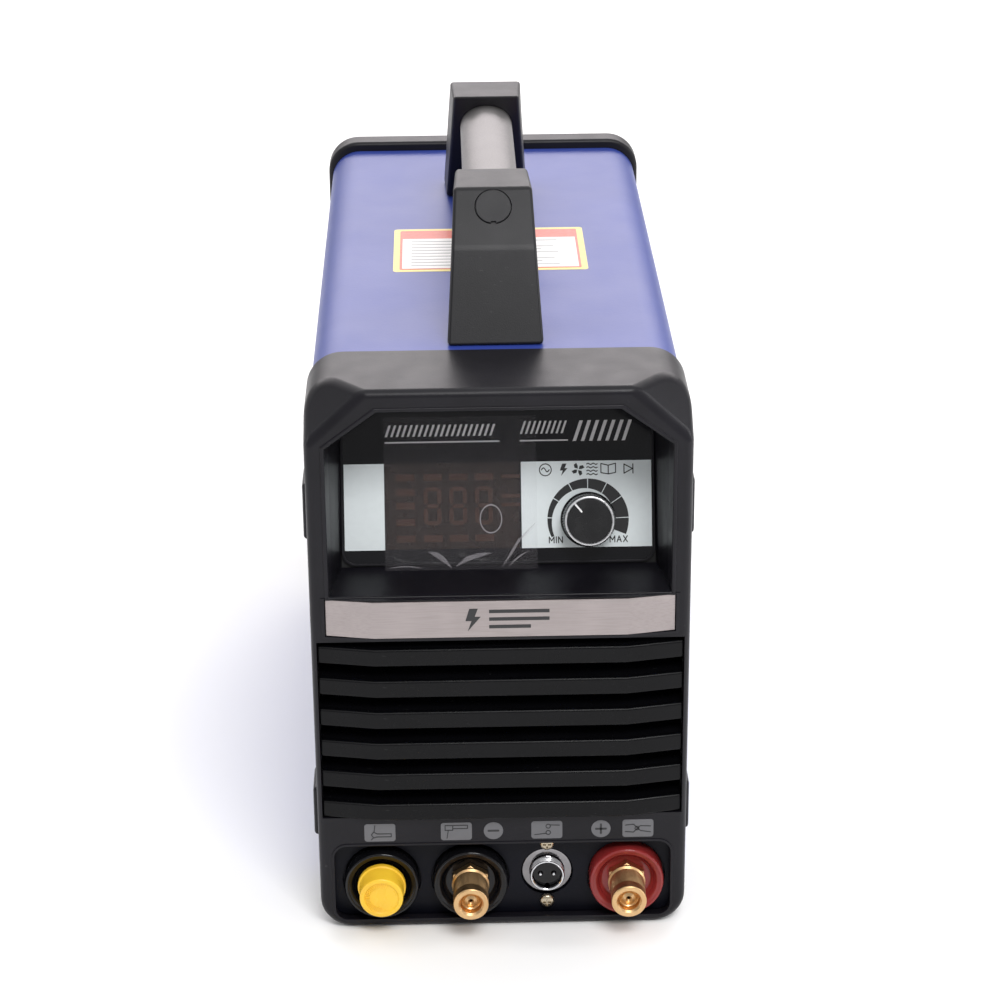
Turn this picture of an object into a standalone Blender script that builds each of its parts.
"""A portable inverter TIG welding machine, in metres, +Z up, its front facing -Y.

The origin is on the ground under the middle of the whole machine. Depths along the case are
given from the front bezel's face, and front_y() turns a depth into a Y coordinate.
"""

import math

import bmesh
import bpy
from mathutils import Matrix, Vector

# ---------------------------------------------------------------- driving dimensions
CASE_WIDTH = 0.165
CASE_HEIGHT = 0.258
CASE_DEPTH = 0.381  # front bezel's face to the rear bezel's back
FITTING_REACH = 0.0183  # brass fittings ahead of the face; the gas inlet reaches as far behind
BOTTOM_WIDTH = 0.1638  # the bezels narrow a little downwards
TOP_RADIUS = 0.016
BOTTOM_RADIUS = 0.014
GAP = 0.0003  # between pieces that touch

BEZEL_DEPTH = 0.050
BEZEL_WALL = 0.0025
FACE_WALL = 0.004
FACET_REACH = 0.018  # how far back the corner facets run

# The control recess: a six-sided funnel down to the tilted panel.
RECESS_HALF = 0.074
RECESS_TOP = 0.249
RECESS_TOP_HALF = 0.0517
RECESS_SHOULDER = 0.2325
SILL_FRONT = 0.1638
PANEL_HALF = 0.0683
PANEL_TILT = math.radians(20)
PANEL_FOOT_DEPTH = 0.0256
PANEL_FOOT_Z = 0.1668
PANEL_TOP = 0.078  # along the slope, from the foot
PANEL_THICK = 0.0025

WINDOW_LEFT = -0.0493
WINDOW_RIGHT = 0.0093
WINDOW_LOW = 0.0072
WINDOW_HIGH = 0.0448
LENS_THICK = 0.0015
DISPLAY_THICK = 0.0090
BOARD_THICK = 0.0016
KNOB_X = 0.0393
KNOB_UP = 0.0192
KNOB_RADIUS = 0.0110
KNOB_HEIGHT = 0.0150
POINTER_TURN = math.radians(40)  # anticlockwise from straight up, at rest
KNOB_DISH = 0.0008
SHAFT_RADIUS = 0.003
SHAFT_DROP = 0.0070  # the shaft's lower end, behind the panel's face

# The nose, trim plate and louvre slats share one three-facet plan.
NOSE_REACH = 0.004
FACET_BEND = 0.0547
SLAT_HALF = 0.0795
SLAT_END_DEPTH = 0.0010
TRIM_LOW = 0.1458
TRIM_HIGH = 0.1629
TRIM_HALF = 0.0755
TRIM_THICK = 0.0012
TRIM_END_DEPTH = 0.0
SLAT_COUNT = 6
SLAT_TOP = 0.1402
SLAT_PITCH = 0.01512
SLAT_HEIGHT = 0.0080
SLAT_THICK = 0.0030
LOUVRE_HALF = 0.0798
LOUVRE_LOW = 0.0562
LOUVRE_HIGH = 0.1425

# The connector bay and what is in it.
BAY_HALF = 0.0754
BAY_LOW = 0.0042
BAY_HIGH = 0.0422
BAY_RADIUS = 0.006
BAY_DEPTH = 0.0060
WELL_DEPTH = 0.0030
WELL_FLOOR = 0.0020
SOCKET_Z = 0.0215
TORCH_X = -0.0543
NEGATIVE_X = -0.0145
CONTROL_X = 0.0200
POSITIVE_X = 0.0556
SOCKET_RADIUS = 0.0168
SOCKET_WELL = 0.0178
SOCKET_NECK = 0.0125
STUD_RADIUS = 0.0078
STUD_SHANK = 0.0060
STUD_BORE = 0.0022  # the fittings are bored through
STUD_BACK = 0.0300  # the fittings' rear ends, behind the face
SOCKET_FLOOR = -0.0040  # the sockets' dished floor, as a height ahead of the face
OPEN_FITTING_BORE = 0.0051
CAP_REACH = 0.0115
CONTROL_Z = 0.0240
CONTROL_WELL = 0.0118
CONTROL_NECK = 0.0079
CONTROL_SCREW_RISE = 0.0148

# Sheet metal.
SHEET = 0.0012
COVER_HALF = 0.0805
COVER_TOP = 0.2575
COVER_LOW = 0.0030
REAR_DEPTH = 0.014
REAR_TOP = 0.262
REAR_RIM = 0.008
REAR_PANEL_INSET = 0.008
REAR_PANEL_THICK = 0.0015
SHEET_LENGTH = CASE_DEPTH - REAR_DEPTH - BEZEL_DEPTH - 2 * GAP
TRAY_LOW = 0.0035
TRAY_LIP = 0.0125

# The handle: two leaning brackets, each the other's mirror about HANDLE_MIDDLE.
HANDLE_MIDDLE = 0.182
BRACKET_FOOT = (0.0553, 0.0843)
BRACKET_CREASE = (0.0728, 0.1073)
BRACKET_CREASE_RISE = 0.039
BRACKET_TOP = (0.0901, 0.1203)
BRACKET_RISE = 0.061
BRACKET_HALF_WIDTHS = (0.0211, 0.0186, 0.0173)
TUBE_RADIUS = 0.0127
TUBE_WALL = 0.002
TUBE_RISE = 0.0433
TUBE_SOCKET_DEPTH = 0.016
COVER_CAP_RADIUS = 0.0079
COVER_CAP_DEPTH = 0.003
COVER_CAP_ALONG = 0.68  # place on the upper slope, from the crease

# Fan, switch and fittings on the rear panel.
FAN_Z = 0.105
FAN_SIZE = 0.092
FAN_BORE = 0.0435
FAN_THICK = 0.0254
FAN_BLADES = 7
FAN_HUB = 0.016
GUARD_THICK = 0.0018
GUARD_RINGS = 4
GUARD_HUB = 0.0100
GUARD_PITCH = 0.0084
GUARD_SLOT = 0.0060
SWITCH_X = 0.038
SWITCH_Z = 0.205
SWITCH_WIDTH = 0.030
SWITCH_HEIGHT = 0.036
ROCKER_REST = math.radians(-10)
GLAND_X = -0.038
GLAND_Z = 0.205
GLAND_BORE = 0.0048
GAS_X = -0.045
GAS_Z = 0.034
EARTH_X = 0.045

ROUND = 24


def front_y(depth):
    """The Y coordinate of a depth measured back from the front bezel's face."""
    return depth - CASE_DEPTH / 2


# ---------------------------------------------------------------- scene and materials
def clear_scene():
    for thing in list(bpy.data.objects):
        bpy.data.objects.remove(thing, do_unlink=True)


def new_collection(name):
    collection = bpy.data.collections.new(name)
    bpy.context.scene.collection.children.link(collection)
    return collection


clear_scene()
PARTS = new_collection("tig_welding_machine")
CUTTERS = new_collection("cutters")


def material(name, color, metallic, roughness):
    made = bpy.data.materials.new(name)
    made.use_nodes = True
    shader = made.node_tree.nodes["Principled BSDF"]
    shader.inputs["Base Color"].default_value = (*color, 1)
    shader.inputs["Metallic"].default_value = metallic
    shader.inputs["Roughness"].default_value = roughness
    return made


FINISHES = {
    "charcoal_plastic": ((0.020, 0.020, 0.023), 0.0, 0.50),
    "black_plastic": ((0.010, 0.010, 0.011), 0.0, 0.40),
    "panel_plastic": ((0.016, 0.018, 0.024), 0.0, 0.45),
    "gloss_black": ((0.006, 0.006, 0.007), 0.0, 0.12),
    "smoked_window": ((0.030, 0.020, 0.016), 0.0, 0.08),
    "blue_paint": ((0.030, 0.060, 0.420), 0.0, 0.35),
    "satin_trim": ((0.420, 0.400, 0.400), 0.9, 0.40),
    "aluminium": ((0.600, 0.600, 0.610), 1.0, 0.35),
    "zinc_steel": ((0.500, 0.510, 0.520), 0.9, 0.45),
    "chrome": ((0.700, 0.700, 0.710), 1.0, 0.12),
    "brass": ((0.700, 0.480, 0.220), 1.0, 0.28),
    "copper": ((0.720, 0.340, 0.200), 1.0, 0.35),
    "yellow_plastic": ((0.850, 0.560, 0.030), 0.0, 0.40),
    "red_plastic": ((0.420, 0.020, 0.020), 0.0, 0.35),
    "circuit_board": ((0.020, 0.160, 0.060), 0.0, 0.45),
    "ferrite": ((0.060, 0.060, 0.065), 0.0, 0.60),
    "hose": ((0.050, 0.050, 0.055), 0.0, 0.55),
}
MATERIALS = {name: material(name, *finish) for name, finish in FINISHES.items()}


# ---------------------------------------------------------------- modelling helpers
def link(obj, name, finish):
    """Names a new object, puts it in the parts' collection and gives it its material."""
    obj.name = name
    obj.data.name = name
    for collection in list(obj.users_collection):
        collection.objects.unlink(obj)
    PARTS.objects.link(obj)
    obj.data.materials.clear()
    obj.data.materials.append(MATERIALS[finish])
    return obj


def as_cutter(obj):
    for collection in list(obj.users_collection):
        collection.objects.unlink(obj)
    CUTTERS.objects.link(obj)
    obj.hide_render = True
    obj.display_type = "WIRE"
    return obj


def combine(obj, tool, operation):
    modifier = obj.modifiers.new(operation.lower() + "_" + tool.name, "BOOLEAN")
    modifier.operation = operation
    modifier.solver = "EXACT"
    modifier.object = as_cutter(tool)
    return obj


def cut(obj, *tools):
    for tool in tools:
        combine(obj, tool, "DIFFERENCE")
    return obj


def join(obj, *tools):
    for tool in tools:
        combine(obj, tool, "UNION")
    return obj


def bevel(obj, width, segments=2, angle=40):
    modifier = obj.modifiers.new("rounding", "BEVEL")
    modifier.width = width
    modifier.segments = segments
    modifier.limit_method = "ANGLE"
    modifier.angle_limit = math.radians(angle)
    return obj


def smooth(obj, angle=35):
    obj.data.shade_smooth()
    obj.data.set_sharp_from_angle(angle=math.radians(angle))
    return obj


def new_object(name, bm, finish="charcoal_plastic"):
    bmesh.ops.recalc_face_normals(bm, faces=bm.faces)
    mesh = bpy.data.meshes.new(name)
    bm.to_mesh(mesh)
    bm.free()
    return link(bpy.data.objects.new(name, mesh), name, finish)


def box(name, low, high, finish="charcoal_plastic", rounding=0.0):
    """A box between two corners; its origin is its middle."""
    low = Vector(low)
    high = Vector(high)
    bm = bmesh.new()
    bmesh.ops.create_cube(bm, size=1, matrix=Matrix.Diagonal((*(high - low), 1)))
    obj = new_object(name, bm, finish)
    obj.location = (low + high) / 2
    return bevel(obj, rounding) if rounding else obj


ALONG_Y = Matrix.Rotation(math.radians(90), 4, "X")  # a local +Z turned to -Y, the front
UPRIGHT = Matrix.Identity(4)


def rod(name, radius, start, length, finish="charcoal_plastic", sides=ROUND, turn=ALONG_Y):
    """A cylinder or, with few sides, a prism, that runs from start along turn's local +Z."""
    bm = bmesh.new()
    lift = Matrix.Translation((0, 0, length / 2))
    bmesh.ops.create_cone(
        bm, cap_ends=True, segments=sides, radius1=radius, radius2=radius, depth=length, matrix=lift
    )
    obj = smooth(new_object(name, bm, finish))
    obj.matrix_world = Matrix.Translation(start) @ turn
    return obj


def turned(name, profile, start, finish, turn=ALONG_Y, steps=ROUND):
    """A closed (radius, height) profile turned about turn's local +Z through start.

    The profile runs down its outer side. Points on the axis leave the loop open there.
    """
    mesh = bpy.data.meshes.new(name)
    on_axis = profile[0][0] == 0
    count = len(profile)
    edges = [(i, i + 1) for i in range(count - 1)]
    if not on_axis:
        edges.append((count - 1, 0))
    mesh.from_pydata([(radius, 0, height) for radius, height in profile], edges, [])
    obj = link(bpy.data.objects.new(name, mesh), name, finish)
    screw = obj.modifiers.new("turning", "SCREW")
    screw.steps = steps
    screw.render_steps = steps
    screw.use_merge_vertices = True
    screw.merge_threshold = 0.00001
    screw.use_smooth_shade = True
    obj.matrix_world = Matrix.Translation(start) @ turn
    return obj


def rounded(corners, steps=5):
    """A loop through (x, y, radius) corners, each rounded by an arc of its radius."""
    points = []
    for i, (x, y, radius) in enumerate(corners):
        here = Vector((x, y))
        back = (Vector(corners[i - 1][:2]) - here).normalized()
        ahead = (Vector(corners[(i + 1) % len(corners)][:2]) - here).normalized()
        if radius == 0:
            points.append(here)
            continue
        half = back.angle(ahead) / 2
        centre = here + (back + ahead).normalized() * radius / math.sin(half)
        start = here + back * radius / math.tan(half) - centre
        end = here + ahead * radius / math.tan(half) - centre
        sweep = start.angle_signed(end)
        for step in range(steps + 1):
            angle = -sweep * step / steps
            points.append(centre + Matrix.Rotation(angle, 2) @ start)
    return points


def rectangle(half_width, low, high, radius=0.0, middle=0.0):
    return rounded(
        [
            (middle - half_width, low, radius),
            (middle + half_width, low, radius),
            (middle + half_width, high, radius),
            (middle - half_width, high, radius),
        ]
    )


def circle(x, y, radius, sides=ROUND):
    turns = [2 * math.pi * i / sides for i in range(sides)]
    return [Vector((x + radius * math.cos(a), y + radius * math.sin(a))) for a in turns]


def slab(name, loops, thickness, place, finish="charcoal_plastic"):
    """A flat outline with holes, thickened upwards along the local +Z of the matrix place."""
    curve = bpy.data.curves.new(name, "CURVE")
    curve.dimensions = "2D"
    curve.fill_mode = "BOTH"
    curve.extrude = thickness / 2
    for loop in loops:
        spline = curve.splines.new("POLY")
        spline.points.add(len(loop) - 1)
        for point, (x, y) in zip(spline.points, loop):
            point.co = (x, y, 0, 1)
        spline.use_cyclic_u = True
    guide = bpy.data.objects.new(name + "_outline", curve)
    bpy.context.scene.collection.objects.link(guide)
    graph = bpy.context.evaluated_depsgraph_get()
    mesh = bpy.data.meshes.new_from_object(guide.evaluated_get(graph))
    bpy.data.objects.remove(guide)
    bm = bmesh.new()
    bm.from_mesh(mesh)
    bmesh.ops.remove_doubles(bm, verts=bm.verts, dist=1e-7)
    bmesh.ops.dissolve_limit(bm, angle_limit=0.001, verts=bm.verts, edges=bm.edges)
    bmesh.ops.recalc_face_normals(bm, faces=bm.faces)
    bmesh.ops.translate(bm, verts=bm.verts, vec=(0, 0, thickness / 2))
    bm.to_mesh(mesh)
    bm.free()
    obj = link(bpy.data.objects.new(name, mesh), name, finish)
    obj.matrix_world = place
    return obj


def facing_front(depth):
    """A place whose local X, Y are the world's X, Z, and whose +Z points out of the front."""
    return Matrix.Translation((0, front_y(depth), 0)) @ ALONG_Y


def loft(name, sections, finish="charcoal_plastic"):
    """A closed skin through sections of equally many points, capped at both ends."""
    bm = bmesh.new()
    rings = [[bm.verts.new(point) for point in section] for section in sections]
    count = len(rings[0])
    for lower, upper in zip(rings, rings[1:]):
        for i in range(count):
            j = (i + 1) % count
            bm.faces.new((lower[i], lower[j], upper[j], upper[i]))
    bm.faces.new(rings[0])
    bm.faces.new(rings[-1])
    return new_object(name, bm, finish)


def smooth_route(points, per_span=5):
    """Points of a Catmull-Rom curve through the given ones."""
    points = [Vector(point) for point in points]
    padded = [2 * points[0] - points[1], *points, 2 * points[-1] - points[-2]]
    route = []
    for a, b, c, d in zip(padded, padded[1:], padded[2:], padded[3:]):
        for step in range(per_span):
            t = step / per_span
            pull = (c - a) * t + (2 * a - 5 * b + 4 * c - d) * t**2 + (3 * b - a - 3 * c + d) * t**3
            route.append(b + pull / 2)
    route.append(points[-1])
    return route


def hose(name, points, radius, finish="hose"):
    curve = bpy.data.curves.new(name, "CURVE")
    curve.dimensions = "3D"
    curve.bevel_depth = radius
    curve.bevel_resolution = 2
    curve.use_fill_caps = True
    route = [Vector(points[0]), *smooth_route(points[1:-1]), Vector(points[-1])]
    spline = curve.splines.new("POLY")
    spline.points.add(len(route) - 1)
    for point, place in zip(spline.points, route):
        point.co = (*place, 1)
    return link(bpy.data.objects.new(name, curve), name, finish)


def on_panel(x, up, out=0.0):
    """A point on the tilted panel: x across, up along the slope, out along its normal."""
    sin, cos = math.sin(PANEL_TILT), math.cos(PANEL_TILT)
    return Vector(
        (x, front_y(PANEL_FOOT_DEPTH) + up * sin - out * cos, PANEL_FOOT_Z + up * cos + out * sin)
    )


PANEL_TURN = Matrix.Rotation(math.radians(90) - PANEL_TILT, 4, "X")


def panel_place(x=0.0, up=0.0, out=0.0):
    return Matrix.Translation(on_panel(x, up, out)) @ PANEL_TURN


# ---------------------------------------------------------------- front bezel
def bezel_outline(inset=0.0, top=CASE_HEIGHT):
    """The bezels' outline, seen from the front: narrower at the bottom, round at the corners."""
    low_half = BOTTOM_WIDTH / 2 - inset
    top_half = CASE_WIDTH / 2 - inset
    return rounded(
        [
            (-low_half, inset, BOTTOM_RADIUS - inset),
            (low_half, inset, BOTTOM_RADIUS - inset),
            (top_half, top - inset, TOP_RADIUS - inset),
            (-top_half, top - inset, TOP_RADIUS - inset),
        ]
    )


def faceted_plan(half_width, reach, end_depth, thickness):
    """The plan, from above, of a strip with a straight middle and two swept-back ends."""
    right = [(FACET_BEND, -reach), (half_width, end_depth)]
    front = [(-x, depth) for x, depth in reversed(right)] + right
    back = [(x, depth + thickness) for x, depth in reversed(front)]
    return [Vector((x, front_y(depth))) for x, depth in front + back]


def six_sides(half_width, top_half, low, shoulder, top):
    return [
        (-half_width, low),
        (half_width, low),
        (half_width, shoulder),
        (top_half, top),
        (-top_half, top),
        (-half_width, shoulder),
    ]


def on_panel_plane(outline, ahead=0.0):
    """Outline points (x, z) dropped onto the tilted panel's plane, or ahead of it."""
    slope = math.tan(PANEL_TILT)
    foot = front_y(PANEL_FOOT_DEPTH)
    return [(x, foot + (z - PANEL_FOOT_Z) * slope - ahead, z) for x, z in outline]


def recess_tool(name, spread, front_depth, ahead):
    """The control recess's funnel; spread grows it sideways."""
    mouth = six_sides(
        RECESS_HALF + spread, RECESS_TOP_HALF + spread / 2, SILL_FRONT - spread,
        RECESS_SHOULDER + spread / 2, RECESS_TOP + spread,
    )
    floor = six_sides(
        PANEL_HALF + spread, RECESS_TOP_HALF - 0.004 + spread / 2, PANEL_FOOT_Z - spread,
        RECESS_SHOULDER - 0.005 + spread / 2, RECESS_TOP - 0.006 + spread,
    )
    near = [(x, front_y(front_depth), z) for x, z in mouth]
    return loft(name, [near, on_panel_plane(floor, ahead)])


def corner_facet(side, inset=0.0):
    """A block that takes the bezel's top corner off along a plane, from the brow to the side."""
    brow = Vector((side * 0.0565, front_y(0), CASE_HEIGHT))
    low = Vector((side * CASE_WIDTH / 2, front_y(0), CASE_HEIGHT - 0.024))
    back = Vector((side * 0.0715, front_y(FACET_REACH), CASE_HEIGHT))
    outward = (low - brow).cross(back - brow).normalized()
    if outward.x * side < 0:
        outward.negate()
    across = (low - brow).normalized()
    turn = Matrix((across, outward.cross(across), outward)).transposed().to_4x4()
    bm = bmesh.new()
    bmesh.ops.create_cube(bm, size=0.12, matrix=Matrix.Translation((0, 0, 0.06)))
    tool = new_object(f"facet_tool_{'right' if side > 0 else 'left'}", bm)
    tool.matrix_world = Matrix.Translation((brow + low + back) / 3 - outward * inset) @ turn
    return tool


def side_pads():
    """Raised pads on the bezel's sides, where its screws go in."""
    pads = []
    for side, word in ((-1, "left"), (1, "right")):
        for z, height, level in ((0.198, 0.026, "upper"), (0.052, 0.024, "lower")):
            reach = CASE_WIDTH / 2 + 0.0018
            low = (side * (reach - 0.006) - 0.006, front_y(0.014), z - height / 2)
            high = (side * (reach - 0.006) + 0.006, front_y(0.036), z + height / 2)
            pads.append(box(f"pad_{word}_{level}", low, high, rounding=0.0016))
    return pads


def bezel_cavity():
    """The bezel's hollow, with its corners cut back so that a wall stays behind the facets."""
    depth = BEZEL_DEPTH - FACE_WALL + 0.001
    place = facing_front(BEZEL_DEPTH + 0.001)
    cavity = slab("bezel_cavity", [bezel_outline(BEZEL_WALL)], depth, place)
    return cut(cavity, corner_facet(-1, BEZEL_WALL), corner_facet(1, BEZEL_WALL))


def make_front_bezel():
    back = facing_front(BEZEL_DEPTH)
    bezel = slab("front_bezel", [bezel_outline()], BEZEL_DEPTH, back)
    bevel(bezel, 0.002)
    cut(bezel, corner_facet(-1), corner_facet(1))
    join(bezel, *side_pads())
    cut(bezel, bezel_cavity())
    join(bezel, recess_tool("recess_wall", BEZEL_WALL, 0.002, GAP))
    cut(bezel, recess_tool("recess_hollow", 0.0, -0.002, -0.001))
    nose_plan = faceted_plan(TRIM_HALF + 0.002, NOSE_REACH - 0.0005, -0.0003, 0.006)
    nose_low = Matrix.Translation((0, 0, TRIM_LOW - 0.0015))
    join(bezel, slab("nose", [nose_plan], SILL_FRONT - TRIM_LOW + 0.0013, nose_low))
    seat_thick = TRIM_THICK + 0.002 + GAP
    seat_plan = faceted_plan(
        TRIM_HALF + GAP, NOSE_REACH + 0.002, TRIM_END_DEPTH - 0.002, seat_thick
    )
    seat_low = Matrix.Translation((0, 0, TRIM_LOW - GAP))
    cut(bezel, slab("trim_seat", [seat_plan], TRIM_HIGH - TRIM_LOW + 2 * GAP, seat_low))
    louvre = rectangle(LOUVRE_HALF, LOUVRE_LOW, LOUVRE_HIGH)
    cut(bezel, slab("louvre_hole", [louvre], 0.012, facing_front(0.008)))
    bay = rectangle(BAY_HALF, BAY_LOW, BAY_HIGH, BAY_RADIUS)
    cut(bezel, slab("bay_hole", [bay], 0.010, facing_front(0.008)))
    return bezel


def make_trim_plate():
    plan = faceted_plan(TRIM_HALF, NOSE_REACH, TRIM_END_DEPTH, TRIM_THICK)
    place = Matrix.Translation((0, 0, TRIM_LOW))
    return slab("trim_plate", [plan], TRIM_HIGH - TRIM_LOW, place, "satin_trim")


def make_louvre_grille():
    """Six slats in one moulding, held together by ribs behind them."""
    plan = faceted_plan(SLAT_HALF, NOSE_REACH, SLAT_END_DEPTH, SLAT_THICK)
    slats = []
    for row in range(SLAT_COUNT):
        low = SLAT_TOP - SLAT_HEIGHT - row * SLAT_PITCH
        slats.append(slab(f"slat_{row + 1}", [plan], SLAT_HEIGHT, Matrix.Translation((0, 0, low))))
    ribs = []
    rib_low = SLAT_TOP - SLAT_HEIGHT - (SLAT_COUNT - 1) * SLAT_PITCH
    for x in (-0.074, -0.037, 0.0, 0.037, 0.074):
        near = front_y(0.0010 if abs(x) > FACET_BEND else -0.0020)
        low = (x - 0.0011, near, rib_low + 0.0005)
        high = (x + 0.0011, front_y(0.0090), SLAT_TOP - 0.0005)
        ribs.append(box(f"rib_{len(ribs) + 1}", low, high))
    grille = link(slats.pop(0), "louvre_grille", "charcoal_plastic")
    return join(grille, *ribs, *slats)


# ---------------------------------------------------------------- control panel
def make_control_panel():
    """The glossy panel, its display window and, behind them, the display and its board."""
    middle = (WINDOW_RIGHT + WINDOW_LEFT) / 2
    half = (WINDOW_RIGHT - WINDOW_LEFT) / 2
    outline = rectangle(PANEL_HALF + 0.0032, -0.0015, PANEL_TOP, 0.006)
    window = rectangle(half, WINDOW_LOW, WINDOW_HIGH, middle=middle)
    shaft_hole = circle(KNOB_X, KNOB_UP, SHAFT_RADIUS + 0.001, 20)
    place = panel_place(out=-PANEL_THICK)
    slab("control_panel", [outline, window, shaft_hole], PANEL_THICK, place, "gloss_black")

    lens = rectangle(half - GAP, WINDOW_LOW + GAP, WINDOW_HIGH - GAP, middle=middle)
    lens_back = -LENS_THICK - 0.0001
    slab("display_window", [lens], LENS_THICK, panel_place(out=lens_back), "smoked_window")

    digits = rectangle(half - 0.0023, WINDOW_LOW + 0.002, WINDOW_HIGH - 0.002, middle=middle)
    digits_back = lens_back - 0.0006 - DISPLAY_THICK
    slab("led_display", [digits], DISPLAY_THICK, panel_place(out=digits_back), "black_plastic")
    board = rectangle(0.062, 0.001, 0.070, 0.002)
    board_back = digits_back - 0.0004 - BOARD_THICK
    slab("display_board", [board], BOARD_THICK, panel_place(out=board_back), "circuit_board")


def make_current_knob():
    """The knob turns about the panel's normal, so its origin is on that axis at the panel."""
    place = on_panel(KNOB_X, KNOB_UP)
    bore = SHAFT_RADIUS + GAP
    dish = KNOB_HEIGHT - KNOB_DISH
    bore_end = KNOB_HEIGHT - 0.0040
    profile = [
        (0, dish),
        (KNOB_RADIUS - 0.0010, dish),
        (KNOB_RADIUS - 0.0010, dish - 0.0004),
        (KNOB_RADIUS, dish - 0.0004),
        (KNOB_RADIUS + 0.0002, 0.0030),
        (KNOB_RADIUS + 0.0010, 0.0022),
        (KNOB_RADIUS + 0.0010, 0.0006),
        (bore, 0.0006),
        (bore, bore_end),
        (0, bore_end),
    ]
    knob = turned("current_knob", profile, place, "black_plastic", PANEL_TURN)
    groove = box("pointer_groove", (-0.0007, 0.0042, 0), (0.0007, 0.0098, 0.001))
    spin = Matrix.Rotation(POINTER_TURN, 4, "Z")
    lift = Matrix.Translation((0, 0.0070, dish))
    groove.matrix_world = Matrix.Translation(place) @ PANEL_TURN @ spin @ lift
    cut(knob, groove)
    ring = [
        (KNOB_RADIUS - 0.0006, KNOB_HEIGHT),
        (KNOB_RADIUS - 0.0001, KNOB_HEIGHT),
        (KNOB_RADIUS, KNOB_HEIGHT - 0.0009),
        (KNOB_RADIUS - 0.0007, KNOB_HEIGHT - 0.0009),
    ]
    turned("knob_ring", ring, place, "chrome", PANEL_TURN)

    shaft_low = on_panel(KNOB_X, KNOB_UP, -SHAFT_DROP)
    shaft_length = SHAFT_DROP + bore_end - 0.0004
    rod("potentiometer_shaft", SHAFT_RADIUS, shaft_low, shaft_length, "aluminium", 20, PANEL_TURN)
    can_top = -PANEL_THICK - GAP
    can_floor = -SHAFT_DROP - 0.0005
    can = [
        (0.0080, can_top),
        (0.0080, can_floor - 0.0033),
        (0.0004, can_floor - 0.0033),
        (0.0004, can_floor),
        (bore, can_floor),
        (bore, can_top),
    ]
    turned("potentiometer_body", can, place, "zinc_steel", PANEL_TURN, 20)


# ---------------------------------------------------------------- connector bay
def make_connector_panel():
    """The bay's back wall, with a round well for each socket and a hole in each well."""
    socket_xs = (TORCH_X, NEGATIVE_X, POSITIVE_X)
    outline = rectangle(0.0785, 0.0032, 0.0462, 0.0105)
    wells = [circle(x, SOCKET_Z, SOCKET_WELL) for x in socket_xs]
    wells.append(circle(CONTROL_X, CONTROL_Z, CONTROL_WELL))
    screw_holes = [
        circle(CONTROL_X, CONTROL_Z + rise, 0.0019, 12)
        for rise in (-CONTROL_SCREW_RISE, CONTROL_SCREW_RISE)
    ]
    necks = [circle(x, SOCKET_Z, SOCKET_NECK + GAP) for x in socket_xs]
    necks.append(circle(CONTROL_X, CONTROL_Z, CONTROL_NECK + GAP))
    front_loops = [outline, *wells, *screw_holes]
    front_thick = WELL_DEPTH + 0.0001  # a little into the floor behind it, so that the two join
    front_place = facing_front(BAY_DEPTH + front_thick)
    panel = slab("connector_panel", front_loops, front_thick, front_place, "panel_plastic")
    floor_place = facing_front(BAY_DEPTH + WELL_DEPTH + WELL_FLOOR)
    floor = slab("well_floor", [outline, *necks, *screw_holes], WELL_FLOOR, floor_place)
    return join(panel, floor)


def socket(name, x, finish):
    """A dish-shaped insulating socket: heights run forward from the face, so depths are negative."""
    flange_back = -BAY_DEPTH - WELL_DEPTH + GAP
    neck_back = -0.0260
    profile = [
        (SOCKET_RADIUS - 0.0022, 0.0008),
        (SOCKET_RADIUS - 0.0008, 0.0008),
        (SOCKET_RADIUS, 0.0),
        (SOCKET_RADIUS, flange_back),
        (SOCKET_NECK, flange_back),
        (SOCKET_NECK, neck_back),
        (STUD_SHANK + GAP, neck_back),
        (STUD_SHANK + GAP, SOCKET_FLOOR),
        (0.0112, SOCKET_FLOOR),
        (0.0138, 0.0002),
    ]
    return turned(name, profile, (x, front_y(0), SOCKET_Z), finish)


def fitting(name, x, reach, hex_front, barrel, bore):
    """A brass fitting: a shank through the socket, a hexagon on its floor and a bored barrel."""
    hex_back = SOCKET_FLOOR + GAP
    profile = [
        (bore, reach),
        (barrel - 0.0006, reach),
        (barrel, reach - 0.0006),
        (barrel, hex_front + 0.0022),
        (barrel - 0.0010, hex_front + 0.0018),
        (barrel - 0.0010, hex_back + 0.0005),
        (STUD_SHANK, hex_back),
        (STUD_SHANK, -STUD_BACK),
        (STUD_BORE, -STUD_BACK),
        (STUD_BORE, reach - 0.0115),
        (bore, reach - 0.0095),
    ]
    body = turned(name, profile, (x, front_y(0), SOCKET_Z), "brass")
    nut_start = (x, front_y(-hex_back), SOCKET_Z)
    nut = rod(name + "_hexagon", 0.0090, nut_start, hex_front - hex_back, sides=6)
    clear = rod(name + "_clear", STUD_SHANK - 0.0005, (x, front_y(0.02), SOCKET_Z), 0.05)
    return join(body, cut(nut, clear))


def make_power_sockets():
    socket("torch_socket", TORCH_X, "black_plastic")
    socket("negative_socket", NEGATIVE_X, "black_plastic")
    socket("positive_socket", POSITIVE_X, "red_plastic")
    for name, x in (("negative_fitting", NEGATIVE_X), ("positive_fitting", POSITIVE_X)):
        fitting(name, x, FITTING_REACH, 0.0020, STUD_RADIUS, OPEN_FITTING_BORE)
    fitting("torch_gas_fitting", TORCH_X, CAP_REACH - 0.0022, -0.0017, 0.0074, 0.0042)


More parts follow.
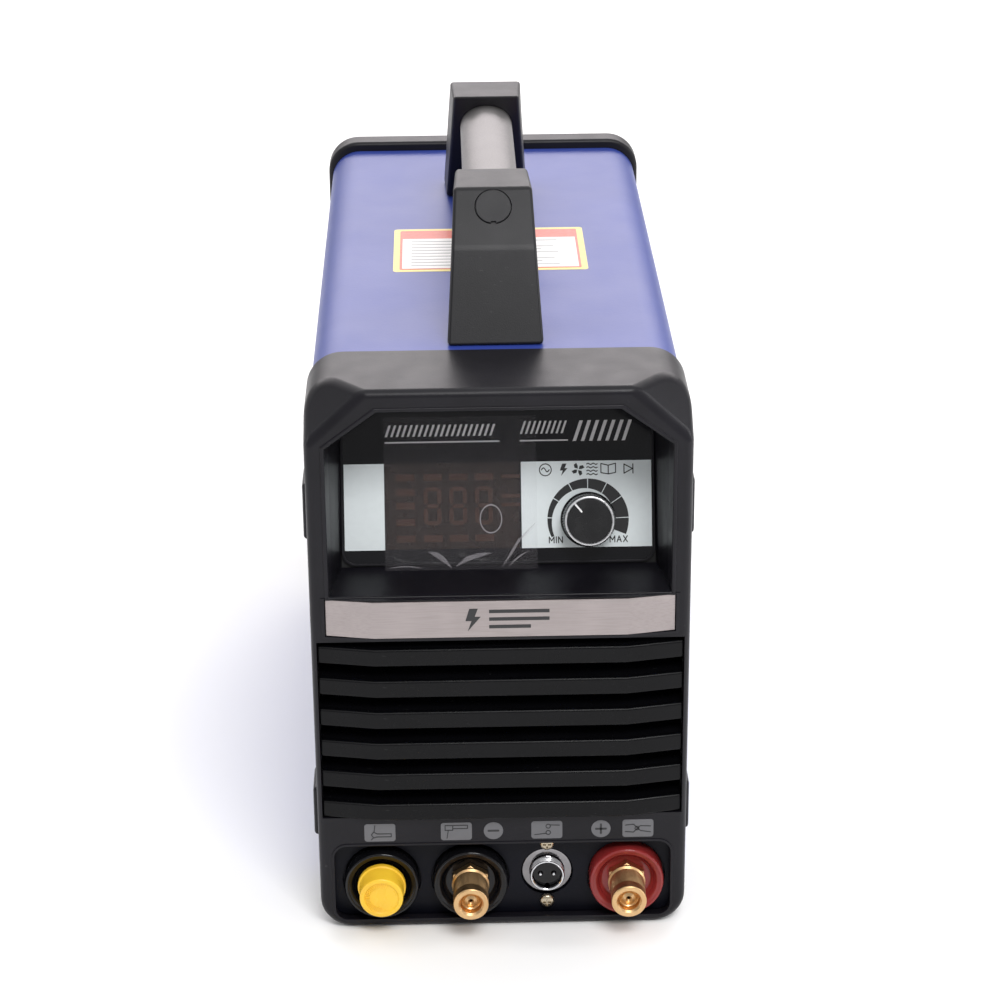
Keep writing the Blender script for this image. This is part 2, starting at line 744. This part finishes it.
def make_gas_cap():
    """The yellow pull-off cap, hollow, over the torch gas fitting. It slides off along -Y."""
    back = -0.0008
    inner = 0.0080
    profile = [
        (0, CAP_REACH),
        (0.0092, CAP_REACH),
        (0.0099, CAP_REACH - 0.0008),
        (0.0101, back + 0.0022),
        (0.0108, back + 0.0018),
        (0.0108, back),
        (inner, back),
        (inner, CAP_REACH - 0.0016),
        (0, CAP_REACH - 0.0016),
    ]
    return turned("torch_gas_cap", profile, (TORCH_X, front_y(0), SOCKET_Z), "yellow_plastic")


def make_control_socket():
    """The two-pin screw-lock socket for the torch switch, with its two fixing screws."""
    centre = (CONTROL_X, front_y(0), CONTROL_Z)
    floor = -BAY_DEPTH - WELL_DEPTH + GAP
    inner = 0.0066
    pin_spacing = 0.003
    shell = [
        (inner, -0.0015),
        (0.0078, -0.0015),
        (0.0078, floor + 0.0018),
        (0.0096, floor + 0.0014),
        (0.0096, floor),
        (CONTROL_NECK, floor),
        (CONTROL_NECK, -0.0220),
        (inner, -0.0220),
    ]
    turned("control_socket_shell", shell, centre, "chrome")
    disc = circle(0, 0, inner - GAP)
    pin_holes = [circle(x, 0, 0.0012, 12) for x in (-pin_spacing, pin_spacing)]
    place = Matrix.Translation((CONTROL_X, front_y(0.0180), CONTROL_Z)) @ ALONG_Y
    slab("control_socket_insert", [disc, *pin_holes], 0.0138, place, "black_plastic")
    for x, word in ((-pin_spacing, "left"), (pin_spacing, "right")):
        start = (CONTROL_X + x, front_y(0.0200), CONTROL_Z)
        rod(f"control_pin_{word}", 0.0009, start, 0.0172, "chrome", 12)
    for rise, word in ((CONTROL_SCREW_RISE, "upper"), (-CONTROL_SCREW_RISE, "lower")):
        seat = (CONTROL_X, front_y(BAY_DEPTH - GAP), CONTROL_Z + rise)
        cross_screw(f"control_screw_{word}", seat)


def cross_screw(name, seat):
    """A pan-head screw with a cross recess; its shank goes in behind the seat."""
    profile = [
        (0, 0.0022),
        (0.0018, 0.0020),
        (0.0031, 0.0010),
        (0.0033, 0.0),
        (0.0015, 0.0),
        (0.0015, -0.0080),
        (0, -0.0080),
    ]
    screw = turned(name, profile, seat, "zinc_steel", steps=20)
    for word, size in (("a", (0.0036, 0.0030, 0.0008)), ("b", (0.0008, 0.0030, 0.0036))):
        half = Vector(size) / 2
        centre = Vector(seat) - Vector((0, 0.0024, 0))
        cut(screw, box(f"{name}_slot_{word}", centre - half, centre + half))
    return screw


# ---------------------------------------------------------------- case
def make_case_cover():
    """The blue cover: one sheet bent over the top and down both sides."""
    corner = TOP_RADIUS - 0.001
    outside = rounded(
        [
            (COVER_HALF, COVER_LOW, 0),
            (COVER_HALF, COVER_TOP, corner),
            (-COVER_HALF, COVER_TOP, corner),
            (-COVER_HALF, COVER_LOW, 0),
        ],
        6,
    )
    start = front_y(BEZEL_DEPTH + GAP)
    bm = bmesh.new()
    edge = [bm.verts.new((x, start, z)) for x, z in outside]
    far = [bm.verts.new((x, start + SHEET_LENGTH, z)) for x, z in outside]
    for i in range(len(edge) - 1):
        bm.faces.new((edge[i], edge[i + 1], far[i + 1], far[i]))
    mesh = bpy.data.meshes.new("case_cover")
    bm.to_mesh(mesh)
    bm.free()
    cover = link(bpy.data.objects.new("case_cover", mesh), "case_cover", "blue_paint")
    smooth(cover)
    shell = cover.modifiers.new("sheet", "SOLIDIFY")
    shell.thickness = SHEET
    shell.offset = 1
    shell.use_even_offset = True
    return cover


def make_base_chassis():
    """The bottom tray, bent up along both sides."""
    half = COVER_HALF - SHEET - GAP
    floor = TRAY_LOW + SHEET
    right = [
        (half, TRAY_LOW),
        (half, TRAY_LOW + TRAY_LIP),
        (half - SHEET, TRAY_LOW + TRAY_LIP),
        (half - SHEET, floor),
    ]
    outline = right + [(-x, z) for x, z in reversed(right)]
    place = facing_front(CASE_DEPTH - REAR_DEPTH - GAP)
    return slab("base_chassis", [outline], SHEET_LENGTH, place, "zinc_steel")


def make_rear_bezel():
    rim = bezel_outline(top=REAR_TOP)
    hole = bezel_outline(REAR_RIM, REAR_TOP)
    bezel = slab("rear_bezel", [rim, hole], REAR_DEPTH, facing_front(CASE_DEPTH))
    return bevel(bezel, 0.0018)


def make_rear_panel():
    outline = bezel_outline(REAR_RIM + GAP, REAR_TOP)
    switch_half = SWITCH_HEIGHT / 2 - 0.002
    switch_low, switch_high = SWITCH_Z - switch_half, SWITCH_Z + switch_half
    holes = [
        circle(0, FAN_Z, FAN_BORE),
        rectangle(SWITCH_WIDTH / 2 - 0.002, switch_low, switch_high, middle=SWITCH_X),
        circle(GLAND_X, GLAND_Z, 0.0094),
        circle(GAS_X, GAS_Z, 0.0053, 20),
        circle(EARTH_X, GAS_Z, 0.0033, 16),
    ]
    place = facing_front(CASE_DEPTH - REAR_PANEL_INSET)
    return slab("rear_panel", [outline, *holes], REAR_PANEL_THICK, place, "charcoal_plastic")


# ---------------------------------------------------------------- handle
def bracket_place(depth, rear):
    """The Y of a depth on the front bracket, or of its mirror image on the rear one."""
    return front_y(2 * HANDLE_MIDDLE - depth if rear else depth)


def inner_face_depth(rise):
    """The depth of the front bracket's inner face at a height above the cover."""
    return BRACKET_FOOT[1] + (BRACKET_TOP[1] - BRACKET_FOOT[1]) * rise / BRACKET_RISE


def make_bracket(name, rear):
    """A leaning bracket: foot, crease and top sections, with a blind socket for the tube."""
    foot_z = COVER_TOP + GAP
    levels = (
        (BRACKET_FOOT, foot_z, BRACKET_HALF_WIDTHS[0]),
        (BRACKET_CREASE, foot_z + BRACKET_CREASE_RISE, BRACKET_HALF_WIDTHS[1]),
        (BRACKET_TOP, foot_z + BRACKET_RISE, BRACKET_HALF_WIDTHS[2]),
    )
    sections = []
    for (outer, inner), z, half in levels:
        near, far = bracket_place(outer, rear), bracket_place(inner, rear)
        narrow = half - 0.0012
        sections.append([(-half, near, z), (half, near, z), (narrow, far, z), (-narrow, far, z)])
    bracket = bevel(loft(name, sections, "charcoal_plastic"), 0.0022, 2, 12)
    sign = -1 if rear else 1
    deep_end = bracket_place(inner_face_depth(TUBE_RISE) - TUBE_SOCKET_DEPTH, rear)
    turn = Matrix.Rotation(math.radians(-90 * sign), 4, "X")
    start = (0, deep_end, COVER_TOP + TUBE_RISE)
    cut(bracket, rod(name + "_tube_hole", TUBE_RADIUS + GAP, start, 0.06, turn=turn))
    cap_centre, cap_turn = cap_place(rear)
    seat = cap_centre - cap_turn @ Vector((0, 0, COVER_CAP_DEPTH))
    hole_place = cap_turn.to_4x4()
    cut(bracket, rod(name + "_cap_hole", COVER_CAP_RADIUS + GAP, seat, 0.03, turn=hole_place))
    return bracket


def cap_place(rear):
    """The middle of the cover cap on the upper slope, and the turn of its outward normal."""
    crease = Vector((0, BRACKET_CREASE[0], BRACKET_CREASE_RISE))
    top = Vector((0, BRACKET_TOP[0], BRACKET_RISE))
    slope = (top - crease).normalized()
    centre = crease.lerp(top, COVER_CAP_ALONG)
    sign = -1 if rear else 1
    normal = Vector((0, -slope.z * sign, slope.y))
    place = Vector((0, bracket_place(centre.y, rear), COVER_TOP + GAP + centre.z))
    return place, normal.to_track_quat("Z", "Y").to_matrix()


def make_handle():
    """Both brackets with their cover caps, and the tube between them."""
    for rear, word in ((False, "front"), (True, "rear")):
        make_bracket(f"handle_bracket_{word}", rear)
        centre, turn = cap_place(rear)
        depth = COVER_CAP_DEPTH - 2 * GAP
        profile = [
            (0, 0.0004),
            (COVER_CAP_RADIUS - 0.0006, 0.0004),
            (COVER_CAP_RADIUS, -0.0002),
            (COVER_CAP_RADIUS, -depth),
            (0, -depth),
        ]
        turned(f"handle_cap_{word}", profile, centre, "charcoal_plastic", turn.to_4x4())
    half = HANDLE_MIDDLE - inner_face_depth(TUBE_RISE) + TUBE_SOCKET_DEPTH - GAP
    profile = [
        (TUBE_RADIUS - TUBE_WALL, half),
        (TUBE_RADIUS, half),
        (TUBE_RADIUS, -half),
        (TUBE_RADIUS - TUBE_WALL, -half),
    ]
    centre = (0, front_y(HANDLE_MIDDLE), COVER_TOP + TUBE_RISE)
    turned("handle_tube", profile, centre, "aluminium")


# ---------------------------------------------------------------- fan and rear fittings
def arc_slot(inner, outer, start, end, steps=5):
    """A ring's sector as a loop, between two radii and two angles."""
    angles = [start + (end - start) * i / steps for i in range(steps + 1)]
    near = [Vector((inner * math.cos(a), FAN_Z + inner * math.sin(a))) for a in angles]
    far = [Vector((outer * math.cos(a), FAN_Z + outer * math.sin(a))) for a in reversed(angles)]
    return near + far


def make_fan_guard():
    """A flat round guard: rings of slots between four radial bars."""
    outline = rectangle(FAN_SIZE / 2, FAN_Z - FAN_SIZE / 2, FAN_Z + FAN_SIZE / 2, 0.012)
    bar_half = 0.0016
    slots = []
    for ring in range(GUARD_RINGS):
        inner = GUARD_HUB + ring * GUARD_PITCH
        outer = inner + GUARD_SLOT
        for quarter in range(4):
            margin = bar_half / inner
            start = math.radians(45 + 90 * quarter) + margin
            end = math.radians(135 + 90 * quarter) - margin
            slots.append(arc_slot(inner, outer, start, end))
    place = facing_front(CASE_DEPTH - REAR_PANEL_INSET + GUARD_THICK + GAP)
    return slab("fan_guard", [outline, *slots], GUARD_THICK, place, "black_plastic")


def make_fan():
    """The fan behind the rear panel: a housing with three struts, and a bladed rotor."""
    panel_face = CASE_DEPTH - REAR_PANEL_INSET - REAR_PANEL_THICK
    back = panel_face - GAP
    frame = rectangle(FAN_SIZE / 2, FAN_Z - FAN_SIZE / 2, FAN_Z + FAN_SIZE / 2, 0.005)
    bore = circle(0, FAN_Z, FAN_BORE)
    housing = slab("fan_housing", [frame, bore], FAN_THICK, facing_front(back), "black_plastic")
    mount_thick = 0.003
    mount_place = Vector((0, front_y(back - FAN_THICK + mount_thick), FAN_Z))
    mount = rod("motor_mount", FAN_HUB + 0.001, mount_place, mount_thick)
    strut_half = (FAN_BORE - 0.010) / 2
    strut_out = Matrix.Translation((0.012 + strut_half, 0, mount_thick / 2))
    struts = []
    for i in range(3):
        half = Vector((strut_half, 0.0015, mount_thick / 2))
        strut = box(f"strut_{i}", -half, half)
        turn = Matrix.Rotation(math.radians(30 + 120 * i), 4, "Z")
        strut.matrix_world = Matrix.Translation(mount_place) @ ALONG_Y @ turn @ strut_out
        struts.append(strut)
    join(housing, mount, *struts)

    rotor_length = FAN_THICK - 0.008
    centre = Vector((0, front_y(back - 0.002), FAN_Z))
    rotor = rod("fan_rotor", FAN_HUB, centre, rotor_length, "black_plastic")
    blade_half = Vector((0.0135, 0.0006, 0.0115))
    out = Matrix.Translation((0.0281, 0, rotor_length / 2))
    pitch = Matrix.Rotation(math.radians(50), 4, "X")
    for i in range(FAN_BLADES):
        blade = box(f"blade_{i}", -blade_half, blade_half)
        spin = Matrix.Rotation(2 * math.pi * i / FAN_BLADES, 4, "Z")
        blade.matrix_world = Matrix.Translation(centre) @ ALONG_Y @ spin @ out @ pitch
        join(rotor, blade)


def make_power_switch():
    """A rocker switch: a housing through the rear panel, and a rocker that tips about X."""
    panel_back = front_y(CASE_DEPTH - REAR_PANEL_INSET)
    half_w, half_h = SWITCH_WIDTH / 2, SWITCH_HEIGHT / 2
    flange_low = (SWITCH_X - half_w, panel_back + GAP, SWITCH_Z - half_h)
    flange_high = (SWITCH_X + half_w, panel_back + GAP + 0.0022, SWITCH_Z + half_h)
    housing = box("power_switch_housing", flange_low, flange_high, "black_plastic")
    body_half_w, body_half_h = half_w - 0.0025, half_h - 0.0025
    body_low = (SWITCH_X - body_half_w, panel_back - 0.026, SWITCH_Z - body_half_h)
    body_high = (SWITCH_X + body_half_w, panel_back + GAP + 0.001, SWITCH_Z + body_half_h)
    join(housing, box("switch_body", body_low, body_high))
    well_half_w, well_half_h = half_w - 0.0045, 0.0140
    well_low = (SWITCH_X - well_half_w, panel_back - 0.012, SWITCH_Z - well_half_h)
    well_high = (SWITCH_X + well_half_w, panel_back + 0.01, SWITCH_Z + well_half_h)
    cut(housing, box("switch_well", well_low, well_high))

    # The rocker's outline is taken about its pivot: local X is outward and local Y is up.
    face = [(0.0020, -0.0124), (0.0080, -0.0108), (0.0055, 0.0), (0.0080, 0.0108), (0.0020, 0.0124)]
    heel_angles = [math.radians(110 + 20 * i) for i in range(8)]
    heel = [(0.0040 * math.cos(a), 0.0040 * math.sin(a)) for a in heel_angles]
    loop = [Vector(point) for point in (*face, *heel)]
    pivot = Vector((SWITCH_X, panel_back - 0.0042, SWITCH_Z))
    axes = Matrix(((0, 0, 1), (1, 0, 0), (0, 1, 0))).to_4x4()
    tip = Matrix.Rotation(ROCKER_REST, 4, "Z")
    width = 2 * (well_half_w - 0.0004)
    shift = Matrix.Translation((0, 0, -width / 2))
    place = Matrix.Translation(pivot) @ axes @ tip @ shift
    slab("power_switch_rocker", [loop], width, place, "red_plastic")


def make_rear_fittings():
    """The mains cord's gland and its nut, the gas inlet's barb and the earth stud."""
    wall_back = front_y(CASE_DEPTH - REAR_PANEL_INSET)
    wall_front = wall_back - REAR_PANEL_THICK
    backwards = Matrix.Rotation(math.radians(-90), 4, "X")
    gland = [
        (GLAND_BORE, 0.0150),
        (0.0088, 0.0150),
        (0.0112, 0.0120),
        (0.0118, GAP),
        (0.0091, GAP),
        (0.0091, -0.0120),
        (GLAND_BORE, -0.0120),
    ]
    turned("cord_gland", gland, (GLAND_X, wall_back, GLAND_Z), "black_plastic", backwards)
    nut_start = (GLAND_X, wall_front - GAP, GLAND_Z)
    nut = rod("cord_gland_nut", 0.0142, nut_start, 0.004, "black_plastic", 6)
    cut(nut, rod("gland_nut_hole", 0.0094, (GLAND_X, wall_back, GLAND_Z), 0.02))

    reach = FITTING_REACH + REAR_PANEL_INSET
    barb = [
        (0.0018, reach),
        (0.0030, reach),
        (0.0040, reach - 0.0050),
        (0.0032, reach - 0.0052),
        (0.0040, reach - 0.0110),
        (0.0032, reach - 0.0112),
        (0.0032, 0.0070),
        (0.0078, 0.0065),
        (0.0078, GAP),
        (0.0050, GAP),
        (0.0050, -0.0120),
        (0.0018, -0.0120),
    ]
    turned("gas_inlet", barb, (GAS_X, wall_back, GAS_Z), "brass", backwards, 20)
    stud = [
        (0, 0.0140),
        (0.0026, 0.0140),
        (0.0030, 0.0134),
        (0.0030, 0.0050),
        (0.0060, 0.0048),
        (0.0060, GAP),
        (0.0030, GAP),
        (0.0030, -0.0100),
        (0, -0.0100),
    ]
    turned("earth_stud", stud, (EARTH_X, wall_back, GAS_Z), "zinc_steel", backwards, 16)


# ---------------------------------------------------------------- inside
TRAY_TOP = TRAY_LOW + SHEET + GAP
BOARD_Z = 0.0680
BOARD_DEPTHS = (0.150, 0.320)
CHOKE_RADIUS = 0.026
CHOKE_THICK = 0.010
SINK_TOP = BOARD_Z - 0.0030
SINK_PLATE = 0.0055
FIN_COUNT = 6
FIN_THICK = 0.0016
BUSBAR_DEPTH = 0.0283
HOSE_RADIUS = 0.0032


def heat_sink(name, left, right):
    """An extrusion with fins hanging down from a plate, run from front to back."""
    plate_low = SINK_TOP - SINK_PLATE
    pitch = (right - left - FIN_THICK) / (FIN_COUNT - 1)
    loop = [(right, SINK_TOP), (left, SINK_TOP)]
    for i in range(FIN_COUNT):
        x = left + i * pitch
        if i > 0:
            loop.append((x, plate_low))
        loop.append((x, TRAY_TOP))
        loop.append((x + FIN_THICK, TRAY_TOP))
        if i < FIN_COUNT - 1:
            loop.append((x + FIN_THICK, plate_low))
    length = BOARD_DEPTHS[1] - BOARD_DEPTHS[0] - 0.01
    slab(name, [loop], length, facing_front(BOARD_DEPTHS[1]), "aluminium")


def make_power_stage():
    """The main board on its two heat sinks, with its capacitors, bridge and transformer."""
    heat_sink("heat_sink_left", -0.068, -0.004)
    heat_sink("heat_sink_right", 0.004, 0.068)
    near, far = (front_y(depth) for depth in BOARD_DEPTHS)
    top = BOARD_Z + BOARD_THICK
    seat = top + GAP
    box("power_board", (-0.072, near, BOARD_Z), (0.072, far, top), "circuit_board")
    can = [(0, 0.048), (0.0138, 0.048), (0.0150, 0.0465), (0.0150, 0.0), (0, 0.0)]
    for word, x in (("left", -0.048), ("right", -0.012)):
        name = f"bus_capacitor_{word}"
        turned(name, can, (x, far - 0.032, seat), "black_plastic", UPRIGHT)
    bridge_low = (0.022, far - 0.048, seat)
    bridge_high = (0.052, far - 0.018, top + 0.010)
    box("rectifier_bridge", bridge_low, bridge_high, "black_plastic", 0.001)
    core_y = near + 0.045
    core_low = (-0.028, core_y - 0.026, seat)
    core_high = (0.028, core_y + 0.026, top + 0.044)
    core = box("main_transformer", core_low, core_high, "ferrite", 0.0015)
    winding_low = (-0.018, core_y - 0.036, top + 0.006)
    winding_high = (0.018, core_y + 0.036, top + 0.038)
    join(core, box("winding", winding_low, winding_high))


def make_output_stage():
    """The output choke, the ignition coil and the copper bars to the two studs."""
    lying = Matrix.Rotation(math.radians(90), 4, "Y")
    turns = [math.radians(90 - 30 * i) for i in range(12)]
    ring = [(CHOKE_RADIUS + CHOKE_THICK * math.cos(a), CHOKE_THICK * math.sin(a)) for a in turns]
    choke_z = TRAY_TOP + CHOKE_RADIUS + CHOKE_THICK
    turned("output_choke", ring, (0.050, front_y(0.100), choke_z), "copper", lying, 20)
    coil = [(0.0070, 0.024), (0.0140, 0.024), (0.0140, -0.024), (0.0070, -0.024)]
    coil_centre = (NEGATIVE_X, front_y(0.095), TRAY_TOP + 0.0245)
    turned("ignition_coil", coil, coil_centre, "copper", UPRIGHT, 20)
    bars = (("negative_busbar", NEGATIVE_X, 0.072), ("positive_busbar", POSITIVE_X, 0.062))
    for name, x, far in bars:
        plate = rectangle(0.009, SOCKET_Z - 0.010, SOCKET_Z + 0.030, 0.003, x)
        hole = circle(x, SOCKET_Z, STUD_SHANK + GAP)
        bar = slab(name, [plate, hole], 0.002, facing_front(BUSBAR_DEPTH), "copper")
        low = (x - 0.008, front_y(BUSBAR_DEPTH - 0.0008), SOCKET_Z + 0.024)
        high = (x + 0.008, front_y(far), SOCKET_Z + 0.0262)
        join(bar, box(name + "_tail", low, high))


def make_gas_line():
    """The gas valve and its two hoses, from the inlet to the torch gas fitting."""
    valve_x, valve_y = -0.050, front_y(0.110)
    base = TRAY_TOP + 0.004
    body_half = Vector((0.011, 0.018, 0.008))
    centre = Vector((valve_x, valve_y, base + body_half.z))
    body = box("gas_valve", centre - body_half, centre + body_half, "brass", 0.001)
    coil_seat = (valve_x, valve_y, base + 2 * body_half.z - 0.0005)
    join(body, rod("valve_coil", 0.0095, coil_seat, 0.026, turn=UPRIGHT))
    inlet_y = front_y(CASE_DEPTH - REAR_PANEL_INSET) - 0.0120 - GAP
    side_x = -0.0725
    port_near = valve_y - body_half.y - GAP
    port_far = valve_y + body_half.y + GAP
    rear_route = [
        (GAS_X, inlet_y, GAS_Z),
        (GAS_X, inlet_y - 0.010, GAS_Z),
        (side_x, inlet_y - 0.034, GAS_Z - 0.004),
        (side_x, front_y(0.240), centre.z),
        (side_x, front_y(0.160), centre.z),
        (valve_x, port_far + 0.008, centre.z),
        (valve_x, port_far, centre.z),
    ]
    hose("gas_hose_inlet", rear_route, HOSE_RADIUS)
    outlet_y = front_y(STUD_BACK) + GAP
    front_route = [
        (valve_x, port_near, centre.z),
        (valve_x, port_near - 0.008, centre.z),
        (TORCH_X, front_y(0.055), SOCKET_Z + 0.001),
        (TORCH_X, outlet_y + 0.010, SOCKET_Z),
        (TORCH_X, outlet_y, SOCKET_Z),
    ]
    hose("gas_hose_torch", front_route, HOSE_RADIUS)


# ---------------------------------------------------------------- build
make_front_bezel()
make_trim_plate()
make_louvre_grille()
make_control_panel()
make_current_knob()
make_connector_panel()
make_power_sockets()
make_gas_cap()
make_control_socket()
make_case_cover()
make_base_chassis()
make_rear_bezel()
make_rear_panel()
make_handle()
make_fan_guard()
make_fan()
make_power_switch()
make_rear_fittings()
make_power_stage()
make_output_stage()
make_gas_line()
